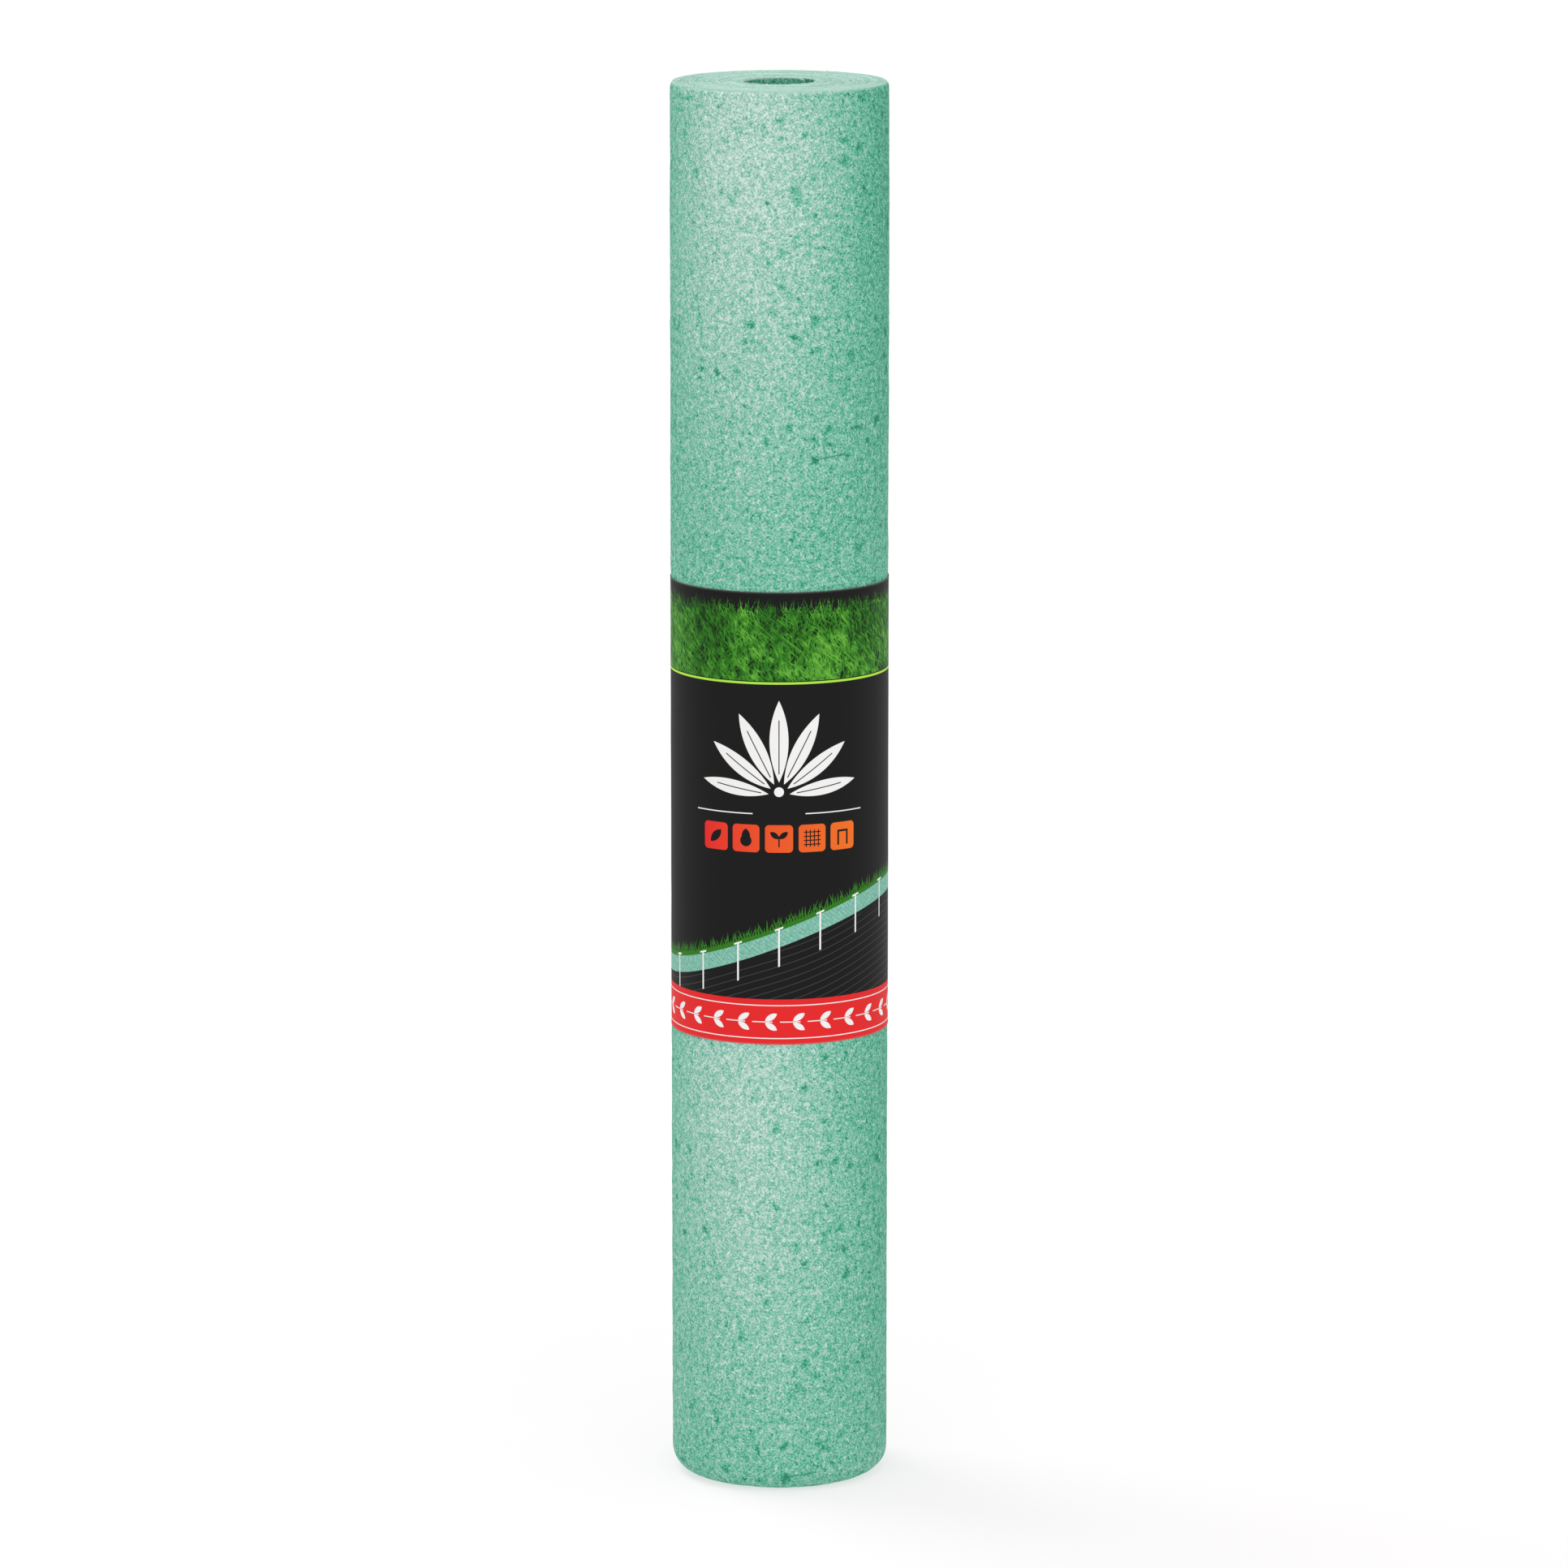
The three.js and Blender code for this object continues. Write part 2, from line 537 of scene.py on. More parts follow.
@dataclass(frozen=True)
class InnerTurns:
    """Turns of the strip below the outer one, lofted along the spiral.

    Attributes:
        winding: The spiral.
        name: The finished piece's name.
        first: Where the turns start, in turns from the inner tail.
        last: Where they end.
        face_rows: Rows of points down the inner face, for the turn that lines the bore.
    """

    winding: Winding
    name: str
    first: float
    last: float
    face_rows: int = 0
    per_turn: int = 128  # sections in each turn
    slack: float = 0.05 * MM  # half the gap between two turns
    crest: float = 1.5 * MM  # how far the cut edge is rounded
    deep: float = 12.0 * MM  # below this the turns lie flat on each other
    flap: float = 0.085  # length of the loose inner tail, in turns
    flap_curl: float = 7.0 * MM

    def section(self) -> dict[str, np.ndarray]:
        """The strip's section: up the inner side, over the top edge, down and under.

        Each edge is half a circle, flattened a little.

        Returns:
            For each point: across, from -1 at the inner side to 1, in from its edge, the
            share of the way from the top edge to the bottom one, and near, which says how
            much of a cut edge it is.
        """
        angle = np.radians([180.0, 150.0, 120.0, 90.0, 60.0, 30.0, 0.0])
        over = np.sign(np.cos(angle)) * np.abs(np.cos(angle)) ** 0.8
        cut = self.crest * (1.0 - np.sin(angle))
        rows = np.linspace(1.0, 0.0, self.face_rows + 2)[1:-1]
        one, zero = np.ones(1), np.zeros(1)
        deep, below = np.full(1, self.deep), np.full(1, 1.6 * self.crest)
        side = np.full(len(rows), self.deep)
        parts = {
            "across": [-one, -one, over, one, one, over[::-1], -one, -np.ones(len(rows))],
            "inset": [deep, below, cut, deep, deep, cut, deep, side],
            "share": [zero, zero, 0 * cut, zero, one, 1 + 0 * cut, one, rows],
            "near": [zero, zero, 1 + 0 * cut, zero, zero, 1 + 0 * cut, zero, 0 * rows],
        }
        return {name: np.concatenate(values) for name, values in parts.items()}

    def top_edge(self, wound: np.ndarray) -> np.ndarray:
        """Height of the top edge, which stands a little uneven from turn to turn."""
        slow = 0.8 * MM * (1.0 + smooth_noise(wound * 2.7, 3.5, 31))
        quick = 0.3 * MM * smooth_noise(wound * 21.0, 5.5, 32)
        return self.winding.sizes.height - slow - quick

    def bottom_edge(self, wound: np.ndarray) -> np.ndarray:
        """Height of the bottom edge: near the floor, or tucked in under the lower rim.

        Under the rim a turn stops at the circle that the outer turn's inner face follows.

        Args:
            wound: Places along the spiral.

        Returns:
            Heights in metres.
        """
        sizes = self.winding.sizes
        rim = sizes.lower_rim
        level = 0.5 * MM * (1.0 + smooth_noise(wound * 2.3, 9.5, 33))
        in_from_face = self.winding.covered_by(wound) * sizes.turn
        room = (rim - sizes.turn - 3 * self.slack) ** 2 - (rim - in_from_face) ** 2
        tucked = rim - np.sqrt(np.maximum(room, 0.0))
        return np.where(in_from_face < rim, tucked, level)

    def piece(self) -> bpy.types.Object:
        """Lofts the turns.

        Returns:
            The turns as a closed solid.
        """
        sizes, section = self.winding.sizes, self.section()
        count = round((self.last - self.first) * self.per_turn) + 1
        wound = np.linspace(self.first, self.last, count)
        share = section["share"][None, :]
        top = self.top_edge(wound)[:, None] - section["inset"][None, :]
        bottom = self.bottom_edge(wound)[:, None] + section["inset"][None, :]
        height = top * (1.0 - share) + bottom * share
        half = sizes.turn / 2.0 - self.slack
        middle = self.winding.outer_face(wound)[:, None] - sizes.turn / 2.0
        radius = middle + half * section["across"][None, :]
        if self.face_rows:
            metres = self.winding.strip_length(wound)[:, None]
            swell = 0.5 * MM * smooth_noise(metres / (24 * MM), height / (28 * MM), 34)
            radius -= np.where(section["across"][None, :] < 0, swell, 0.0)
        loose = np.clip(1.0 - wound / self.flap, 0.0, 1.0)[:, None] ** 1.6
        waving = 1.0 + 0.35 * smooth_noise(height / (70 * MM), 2.5, 35)
        radius = radius - self.flap_curl * loose * waving
        azimuth = self.winding.azimuth(wound)[:, None]
        parts = (radius * np.cos(azimuth), radius * np.sin(azimuth), height)
        points = np.stack(np.broadcast_arrays(*parts), axis=-1)
        # Painted shade on the face of the innermost turn that lines the bore.
        lining = 0.26 * (section["across"] == -1.0) * (section["near"] == 0.0)
        marks = {
            HOLLOW_SHADE: np.broadcast_to(lining * (self.face_rows > 0), radius.shape),
            EDGE: np.broadcast_to(section["near"], radius.shape),
        }
        return Loft(self.name, points, self.chart(wound, radius, height), marks).piece()

    def chart(self, wound: np.ndarray, radius: np.ndarray, height: np.ndarray) -> np.ndarray:
        """The UV map: metres of strip along it, and metres round the first section across it.

        Args:
            wound: Places along the spiral.
            radius: The points' radii.
            height: The points' heights.

        Returns:
            Places as (sections, points + 1, 2).
        """
        ring = np.column_stack([radius[-1], height[-1]])
        steps = np.linalg.norm(np.diff(ring, axis=0, append=ring[:1]), axis=1)
        across = np.concatenate([[0.0], np.cumsum(steps)])
        metres = self.winding.strip_length(wound)
        return np.stack(np.broadcast_arrays(metres[:, None], across[None, :]), axis=-1)


@dataclass(frozen=True)
class LooseFibres:
    """Short bent fibres that lie on the felt, most of them half sunk in it."""

    outer: OuterTurn
    count: int = 3000
    on_end: int = 420
    longest: float = 10.0 * MM
    shortest: float = 3.5 * MM
    thickest: float = 0.95 * MM  # half the width at the middle
    seed: int = 52

    def strands(self, count: int, rng: np.random.Generator) -> dict[str, np.ndarray]:
        """Bent strands on a flat plane: a shallow parabola, thickest in the middle.

        Args:
            count: How many strands to make.
            rng: The source of random numbers.

        Returns:
            Offsets x and y on the plane, and lift off it, as (strands, stations, 3), and the
            strands' shades.
        """
        station = np.linspace(-1.0, 1.0, 5)[None, :, None]
        length = self.shortest + (self.longest - self.shortest) * rng.uniform(0, 1, count) ** 1.8
        width = self.thickest * rng.uniform(0.45, 1.0, count)
        bow = rng.normal(0.0, 0.07, count)
        turn = rng.uniform(0.0, np.pi, count)
        raised = rng.uniform(0.0, 0.6 * MM, (count, 2)) * (rng.uniform(0, 1, (count, 1)) < 0.2)
        length, width, bow, turn = (a[:, None, None] for a in (length, width, bow, turn))
        side = np.array([-1.0, 1.0, 0.0])[None, None, :]
        above = np.array([-0.35, -0.35, 0.5])[None, None, :]
        taper = 1.0 - 0.75 * station**2
        x = length / 2.0 * station + 0.0 * side
        y = length * bow * (station**2 - 1.0 / 3.0) + width * taper * side
        ends = np.where(station < 0, raised[:, :1, None], raised[:, 1:, None])
        lift = width * taper * above + ends * station**2
        return {
            "x": x * np.cos(turn) - y * np.sin(turn),
            "y": x * np.sin(turn) + y * np.cos(turn),
            "lift": lift,
            "shade": rng.choice([0.1, 0.4, 0.7, 1.0], count, p=[0.26, 0.30, 0.28, 0.16]),
        }

    def on_face(self, rng: np.random.Generator) -> tuple[np.ndarray, np.ndarray]:
        """Strands on the roll's side, clear of the band.

        Args:
            rng: The source of random numbers.

        Returns:
            Points as (strands, stations, 3, 3), and the strands' shades.
        """
        made = self.strands(self.count, rng)
        outer, margin = self.outer, 14.0 * MM
        along = rng.uniform(margin, outer.length - margin, self.count)[:, None, None]
        down = rng.uniform(8.0 * MM, outer.width - margin, self.count)[:, None, None]
        keep = outer.under_band(down[:, 0, 0]) == 0.0
        at_along, at_down = along + made["x"], np.maximum(down + made["y"], 6.0 * MM)
        hidden = outer.under_band(at_down).max(axis=(1, 2)) > 0.0
        keep &= ~hidden
        proud = outer.face(at_along, at_down) + made["lift"]
        return outer.place(at_along, at_down, proud)[keep], made["shade"][keep]

    def on_top(self, rng: np.random.Generator) -> tuple[np.ndarray, np.ndarray]:
        """Strands across the turns' edges, and a ring of pale ones that reach over the bore.

        Args:
            rng: The source of random numbers.

        Returns:
            Points as (strands, stations, 3, 3), and the strands' shades.
        """
        made = self.strands(self.on_end, rng)
        sizes = self.outer.sizes
        inner, rim = sizes.bore_radius + 1.0 * MM, sizes.radius - 8.0 * MM
        spread = np.sqrt(rng.uniform(inner**2, rim**2, self.on_end))
        at_bore = rng.uniform(0, 1, self.on_end) < 0.15
        radius = np.where(at_bore, inner + rng.uniform(-1, 3, self.on_end) * MM, spread)
        azimuth = rng.uniform(0.0, FULL_TURN, self.on_end)
        x = (radius * np.cos(azimuth))[:, None, None] + 0.6 * made["x"]
        y = (radius * np.sin(azimuth))[:, None, None] + 0.6 * made["y"]
        z = sizes.height - 0.7 * MM + made["lift"]
        shade = np.where(at_bore, 1.0, made["shade"])
        return np.stack([x, y, z], axis=-1), shade

    def piece(self) -> bpy.types.Object:
        """Joins all the strands in one mesh, each a closed solid of three long sides.

        Returns:
            The fibres.
        """
        rng = np.random.default_rng(self.seed)
        faces_of = [self.on_face(rng), self.on_top(rng)]
        points = np.concatenate([points for points, _ in faces_of])
        shade = np.concatenate([shade for _, shade in faces_of])
        count, stations, around = points.shape[:3]
        corner = np.arange(points.size // 3).reshape(count, stations, around)
        beside = np.roll(corner, -1, axis=2)
        quads = np.stack([corner[:, :-1], beside[:, :-1], beside[:, 1:], corner[:, 1:]], axis=-1)
        ends = np.concatenate([corner[:, 0, ::-1], corner[:, -1]])
        mesh = bpy.data.meshes.new("loose_fibres")
        mesh.from_pydata(points.reshape(-1, 3), [], quads.reshape(-1, 4).tolist() + ends.tolist())
        mark = mesh.attributes.new(SHADE, "FLOAT", "POINT")
        mark.data.foreach_set("value", np.repeat(shade, stations * around).astype(np.float32))
        mesh.polygons.foreach_set("use_smooth", np.ones(len(mesh.polygons), bool))
        mesh.set_sharp_from_angle(angle=np.radians(80.0))
        piece = bpy.data.objects.new("loose_fibres", mesh)
        bpy.context.scene.collection.objects.link(piece)
        return piece


@dataclass(frozen=True)
class PaperBand:
    """The printed strip of paper that goes once round the roll and is glued to itself behind."""

    winding: Winding
    thickness: float = 0.4 * MM
    clearance: float = 0.2 * MM
    lap: float = 30.0 * MM
    lap_middle: float = np.pi / 2.0
    columns: int = 400
    rows: int = 92

    @property
    def sizes(self) -> RollSizes:
        """The roll's sizes."""
        return self.winding.sizes

    @property
    def height(self) -> float:
        """The band's width, which stands upright."""
        return self.sizes.band_high - self.sizes.band_low

    def wrap(self, azimuth: np.ndarray) -> np.ndarray:
        """Radius of the paper round the outer turn: it lies on the felt, and it crosses the
        step at the tail on a straight line that touches the lower side of the step.

        Args:
            azimuth: Directions from the axis.

        Returns:
            The paper's inner radius.
        """
        sizes = self.sizes
        past_tail = (azimuth - self.winding.outer_tail) % FULL_TURN
        felt = self.winding.outer_face(self.winding.turns - 1.0 + past_tail / FULL_TURN)
        low = sizes.radius - sizes.turn / 2.0
        reach = np.arccos(low / (sizes.radius + sizes.turn / 2.0))
        bridge = low / np.cos(np.clip(reach - past_tail, 0.0, reach))
        return np.maximum(felt, bridge) + self.clearance

    def piece(self) -> bpy.types.Object:
        """Lofts the strip: a section goes up its outer face and down its inner one.

        Returns:
            The band as a closed solid.
        """
        radius = self.sizes.radius
        half_lap = self.lap / radius / 2.0
        first = self.lap_middle - half_lap
        turned = np.linspace(0.0, FULL_TURN + 2.0 * half_lap, self.columns)
        azimuth = first + turned
        trim = np.array([0.0, 0.5, 3.0]) * MM
        inside = np.linspace(8.0 * MM, self.height - 8.0 * MM, self.rows)
        up = np.concatenate([trim, inside, self.height - trim[::-1]])
        lapped = smooth_step(turned, FULL_TURN - 2.0 * half_lap, FULL_TURN)
        free_end = smooth_step(turned, FULL_TURN + half_lap, FULL_TURN + 2.0 * half_lap)
        around, level = azimuth[:, None], up[None, :]
        buckle = 0.14 * MM * smooth_noise(around * radius / (120 * MM), level / (60 * MM), 61)
        from_edge = np.minimum(up, self.height - up)[None, :]
        lift = 0.35 * MM * (1.0 + smooth_noise(around * radius / (75 * MM), level / self.height, 62))
        curl = 0.45 * MM * (1.0 + smooth_noise(level / (90 * MM), 1.5, 63)) * free_end[:, None]
        layer = lapped[:, None] * (self.thickness + 0.1 * MM)
        inner = self.wrap(azimuth)[:, None] + buckle + lift * np.exp(-from_edge / (7 * MM))
        inner = inner + layer + curl
        faces = [inner + self.thickness, inner[:, ::-1]]
        radii = np.concatenate(faces, axis=1)
        heights = self.sizes.band_low + np.concatenate([up, up[::-1]])[None, :]
        parts = (radii * np.cos(around), radii * np.sin(around), heights)
        points = np.stack(np.broadcast_arrays(*parts), axis=-1)
        round_roll = (azimuth - FRONT) * radius
        across = np.concatenate([up, 2.0 * self.height - up[::-1], 2.0 * self.height + up[:1]])
        chart = np.stack(np.broadcast_arrays(round_roll[:, None], across[None, :]), axis=-1)
        worn = np.exp(-from_edge / (0.35 * MM))
        edge = np.broadcast_to(np.concatenate([worn, worn[:, ::-1]], axis=1), radii.shape)
        return Loft("paper_band", points, chart, {EDGE: edge}).piece()


@dataclass(frozen=True)
class Field:
    """A number that varies over a surface: one output of a shader's node tree."""

    tree: bpy.types.NodeTree
    socket: bpy.types.NodeSocket

    def math(self, operation: str, *others: Field | float, clamp: bool = False) -> Field:
        """Adds a Math node.

        Args:
            operation: The node's operation.
            others: What goes into its other inputs.
            clamp: Whether to keep the result between 0 and 1.

        Returns:
            The node's output.
        """
        node = self.tree.nodes.new("ShaderNodeMath")
        node.operation = operation
        node.use_clamp = clamp
        for place, value in enumerate((self, *others)):
            if isinstance(value, Field):
                self.tree.links.new(value.socket, node.inputs[place])
            else:
                node.inputs[place].default_value = value
        return Field(self.tree, node.outputs[0])

    def __add__(self, other: Field | float) -> Field:
        """Adds."""
        return self.math("ADD", other)

    def __sub__(self, other: Field | float) -> Field:
        """Subtracts."""
        return self.math("SUBTRACT", other)

    def __mul__(self, other: Field | float) -> Field:
        """Multiplies."""
        return self.math("MULTIPLY", other)

    def __truediv__(self, other: Field | float) -> Field:
        """Divides."""
        return self.math("DIVIDE", other)

    def __neg__(self) -> Field:
        """Changes the sign."""
        return self.math("MULTIPLY", -1.0)

    def __abs__(self) -> Field:
        """Drops the sign."""
        return self.math("ABSOLUTE")

    def either(self, other: Field | float) -> Field:
        """The larger of two numbers, which joins two masks."""
        return self.math("MAXIMUM", other)

    def both(self, other: Field | float) -> Field:
        """The smaller of two numbers, which keeps what two masks share."""
        return self.math("MINIMUM", other)

    def away(self, other: Field) -> Field:
        """Distance from the origin to the point with these two coordinates."""
        return (self * self + other * other).math("SQRT")

    def clamped(self) -> Field:
        """Kept between 0 and 1."""
        return self.math("ADD", 0.0, clamp=True)

    def inside(self, blur: float = 0.3 * MM) -> Field:
        """A mask that is 1 where this distance is negative, with a soft edge."""
        return (self / -blur).math("ADD", 0.5, clamp=True)


class Canvas:
    """A material under construction, with patterns worked out on the piece's UV map."""

    def __init__(self, name: str) -> None:
        """Starts a material with its Principled shader and the UV map's two coordinates."""
        self.material = bpy.data.materials.new(name)
        self.material.use_nodes = True
        self.tree = self.material.node_tree
        self.shader = self.tree.nodes["Principled BSDF"]
        chart = self.tree.nodes.new("ShaderNodeUVMap")
        chart.uv_map = STRIP_MAP
        self.chart = chart.outputs["UV"]
        split = self.tree.nodes.new("ShaderNodeSeparateXYZ")
        self.tree.links.new(self.chart, split.inputs[0])
        self.along = Field(self.tree, split.outputs["X"])
        self.across = Field(self.tree, split.outputs["Y"])

    def mark(self, name: str) -> Field:
        """One of the mesh's named values."""
        node = self.tree.nodes.new("ShaderNodeAttribute")
        node.attribute_name = name
        return Field(self.tree, node.outputs["Fac"])

    def noise(
        self,
        size: float,
        detail: float = 2.0,
        stretch: float = 1.0,
        turn: float = 0.0,
        warp: float = 0.0,
        shift: float = 0.0,
    ) -> Field:
        """Noise on the UV map.

        Args:
            size: Size of its largest features across their length, in metres.
            detail: How many finer octaves it has.
            stretch: How many times longer than wide the features are.
            turn: Angle of their length, in degrees.
            warp: How much they bend.
            shift: Where on the noise the pattern starts.

        Returns:
            Values about 0.5.
        """
        mapping = self.tree.nodes.new("ShaderNodeMapping")
        mapping.vector_type = "TEXTURE"
        mapping.inputs["Location"].default_value = (shift, 0.7 * shift, 0.0)
        mapping.inputs["Rotation"].default_value = (0.0, 0.0, np.radians(turn))
        mapping.inputs["Scale"].default_value = (size * stretch, size, size)
        self.tree.links.new(self.chart, mapping.inputs["Vector"])
        node = self.tree.nodes.new("ShaderNodeTexNoise")
        node.noise_dimensions = "2D"
        node.inputs["Scale"].default_value = 1.0
        node.inputs["Detail"].default_value = detail
        node.inputs["Distortion"].default_value = warp
        self.tree.links.new(mapping.outputs["Vector"], node.inputs["Vector"])
        return Field(self.tree, node.outputs["Fac"])

    def hairs(self, width: float, stretch: float, turn: float, shift: float) -> Field:
        """Thin hairs that lie one way: the lines where a stretched noise passes its middle.

        Args:
            width: About how far apart the hairs are.
            stretch: How many times longer than that they run.
            turn: Their direction, in degrees.
            shift: Where on the noise the pattern starts.

        Returns:
            1 on the middle of a hair and 0 off it.
        """
        made = self.noise(width * 2.0, 1.0, stretch, turn, 0.35, shift)
        return (abs(made - 0.5) * -9.0).math("ADD", 1.0, clamp=True)

    def strands(self, width: float, stretch: float, turns: tuple[float, ...], shift: float) -> Field:
        """Short thick strands that cross: the high parts of noises stretched several ways.

        Args:
            width: About how wide the first strands are. The others are wider.
            stretch: How many times longer than wide they are.
            turns: Their directions, in degrees.
            shift: Where on the noise the pattern starts.

        Returns:
            1 on the middle of a strand and 0 off it.
        """
        found = self.noise(width, 1.0, stretch, turns[0], 0.0, shift)
        for number, turn in enumerate(turns[1:], 1):
            size = width * (1.0 + 0.3 * number)
            found = found.either(self.noise(size, 1.0, stretch, turn, 0.0, shift + 1.7 * number))
        return ((found - 0.5) * 4.5).clamped()

    def chance(self, cell: Field) -> Field:
        """A random number from 0 to 1 for each value of a field."""
        node = self.tree.nodes.new("ShaderNodeTexWhiteNoise")
        node.noise_dimensions = "1D"
        self.tree.links.new(cell.socket, node.inputs["W"])
        return Field(self.tree, node.outputs["Value"])

    def ramp(self, value: Field, stops: list[tuple[float, Colour]]) -> bpy.types.NodeSocket:
        """Colours for a number.

        Args:
            value: The number.
            stops: Where each colour sits, in rising order.

        Returns:
            The colour's socket.
        """
        node = self.tree.nodes.new("ShaderNodeValToRGB")
        node.color_ramp.interpolation = "LINEAR"
        elements = node.color_ramp.elements
        for place, colour in stops[1:-1]:
            elements.new(place).color = (*colour, 1.0)
        for element, (place, colour) in zip(elements, stops):
            element.position = place
            element.color = (*colour, 1.0)
        self.tree.links.new(value.socket, node.inputs["Fac"])
        return node.outputs["Color"]

    def over(
        self,
        below: bpy.types.NodeSocket | Colour,
        above: bpy.types.NodeSocket | Colour,
        mask: Field,
        blend: str = "MIX",
    ) -> bpy.types.NodeSocket:
        """Lays one colour over another.

        Args:
            below: The colour underneath.
            above: The colour on top.
            mask: Where the upper colour shows.
            blend: How the two mix.

        Returns:
            The mixed colour's socket.
        """
        node = self.tree.nodes.new("ShaderNodeMix")
        node.data_type = "RGBA"
        node.blend_type = blend
        self.tree.links.new(mask.socket, node.inputs["Factor"])
        colour_inputs = [s for s in node.inputs if s.type == "RGBA"]
        for place, colour in zip(colour_inputs, (below, above)):
            if isinstance(colour, bpy.types.NodeSocket):
                self.tree.links.new(colour, place)
            else:
                place.default_value = (*colour, 1.0)
        return next(s for s in node.outputs if s.type == "RGBA")

    def finish(
        self, colour: bpy.types.NodeSocket, roughness: Field, height: Field, depth: float
    ) -> bpy.types.Material:
        """Joins the patterns to the shader.

        Args:
            colour: The base colour.
            roughness: The roughness.
            height: The bump's height, from 0 to 1.
            depth: How deep the bump is, in metres.

        Returns:
            The finished material.
        """
        links = self.tree.links
        links.new(colour, self.shader.inputs["Base Color"])
        links.new(roughness.socket, self.shader.inputs["Roughness"])
        bump = self.tree.nodes.new("ShaderNodeBump")
        bump.inputs["Distance"].default_value = depth
        bump.inputs["Strength"].default_value = 1.0
        links.new(height.socket, bump.inputs["Height"])
        links.new(bump.outputs["Normal"], self.shader.inputs["Normal"])
        return self.material


@dataclass(frozen=True)
class FeltFinish:
    """Felted mulch fibre: pale and mid green strands over a deep green ground, with painted light round
    the roll and painted shade in its hollows and creases.
    """

    outer: OuterTurn
    darkest: Colour = (0.028, 0.235, 0.135)
    deep: Colour = (0.070, 0.400, 0.250)
    dark: Colour = (0.144, 0.512, 0.360)
    middle: Colour = (0.236, 0.543, 0.418)
    light: Colour = (0.365, 0.595, 0.505)
    pale: Colour = (0.560, 0.745, 0.670)
    palest: Colour = (0.700, 0.840, 0.785)
    drift: float = 0.06  # how much the shade drifts across the strip's width
    drift_painted_light: float = 0.5  # and how much the painted light does
    drift_length: float = 1.45
    painted_light: float = 0.14  # painted light: how much paler the felt is painted on one side of the roll
    painted_light_twice: float = 0.22  # and on two opposite sides, which leaves painted shade on the sides between them
    painted_light_side: float = np.radians(-17.0)  # where the painted light centres, round from the front line

    def creases(self, canvas: Canvas) -> Field:
        """Thin lines of painted shade along the creases: the distance to a straight stretch, made a
        mask.

        Args:
            canvas: The material under construction.

        Returns:
            1 in a fold.
        """
        found = None
        for start, crease in zip(self.outer.crease_starts(), CREASES):
            slope = -crease.rise / crease.length
            run = canvas.along - float(start[0])
            wander = (canvas.noise(11.0 * MM, 1.0) - 0.5) * (1.5 * MM)
            off_line = abs(canvas.across - float(start[1]) - run * slope + wander)
            off_ends = abs(run - crease.length / 2.0) - crease.length / 2.0
            fold = off_line.either(off_ends * 0.2) - 0.45 * MM
            found = fold.inside(0.9 * MM) if found is None else found.either(fold.inside(0.9 * MM))
        return found

    def weave(self, canvas: Canvas) -> tuple[Field, Field]:
        """Strands that cross in several directions, with a few finer hairs over them.

        Args:
            canvas: The material under construction.

        Returns:
            The pale strands and the dark gaps between strands.
        """
        pale = canvas.strands(1.6 * MM, 2.6, (14.0, 66.0, 128.0), 0.0)
        hairs = canvas.hairs(1.4 * MM, 5.0, 37.0, 1.3).either(canvas.hairs(1.4 * MM, 5.0, 111.0, 2.3))
        dark = canvas.strands(1.6 * MM, 2.2, (170.0, 50.0), 5.1)
        return (pale * 0.8 + hairs * 0.2).clamped(), dark

    def material(self) -> bpy.types.Material:
        """Builds the finish.

        Returns:
            The material.
        """
        canvas = Canvas("felted_mulch")
        pale, dark = self.weave(canvas)
        grain = canvas.noise(3.2 * MM, 2.0, shift=27.0) - 0.5
        clumps = canvas.noise(9.0 * MM, 2.0, shift=3.0) - 0.5
        clouds = canvas.noise(46.0 * MM, 3.0, shift=9.0) - 0.5
        fields = canvas.noise(240.0 * MM, 1.0, shift=15.0) - 0.5
        # Painted shade in the hollows and down the bore, mottled by noise.
        pits = canvas.mark(HOLLOW_SHADE) * (canvas.noise(4.0 * MM, 2.0, shift=2.0) * 2.0 + 0.1)
        flecks = (canvas.noise(9.0 * MM, 2.0, shift=21.0) * -7.0).math("ADD", 2.35, clamp=True)
        edge, creases = canvas.mark(EDGE), self.creases(canvas)
        # Painted light: a broad painted highlight near the front of the roll and painted shade towards
        # its sides, weaker down the strip and stronger or weaker with the drift; the drift's own tone
        # is added after it.
        round_roll = (canvas.along - self.outer.front_line) / self.outer.sizes.radius - self.painted_light_side
        drift = (canvas.across * (FULL_TURN / self.drift_length) - 0.3).math("COSINE")
        painted_light = round_roll.math("COSINE") * self.painted_light
        painted_light = painted_light + (round_roll * 2.0).math("COSINE") * self.painted_light_twice
        painted_light = painted_light * (drift * self.drift_painted_light - canvas.across * 0.32 + 1.0)
        painted_light = painted_light + drift * self.drift + canvas.across * 0.02
        value = grain * 1.30 + clumps * 1.15 + clouds * 0.26 + fields * 0.12
        value = value + pale * 0.52 - dark * 0.50 + 0.21
        # The painted light goes in here, with painted shade in the hollows and the felt's own dark
        # flecks.
        value = value + painted_light - pits * 0.9 - flecks * 0.4
        value = value + (value * -1.0 + 0.98) * (edge * 0.72)
        stops = [
            (0.0, self.darkest),
            (0.25, self.deep),
            (0.40, self.dark),
            (0.52, self.middle),
            (0.65, self.light),
            (0.84, self.pale),
            (1.0, self.palest),
        ]
        colour = canvas.ramp(value * 0.56 + 0.25, stops)
        # Painted shade: the darkest green laid along the creases.
        colour = canvas.over(colour, self.darkest, creases)
        height = clumps * 0.5 + pale * 0.32 - dark * 0.22 - flecks * 0.25 - creases * 0.9 + 0.6
        rough = canvas.noise(5.0 * MM, 1.0, shift=4.0) * 0.12 + 0.86
        canvas.shader.inputs["Specular IOR Level"].default_value = 0.15
        canvas.shader.inputs["Sheen Weight"].default_value = 0.03
        canvas.shader.inputs["Sheen Roughness"].default_value = 0.5
        return canvas.finish(colour, rough, height, 0.9 * MM)


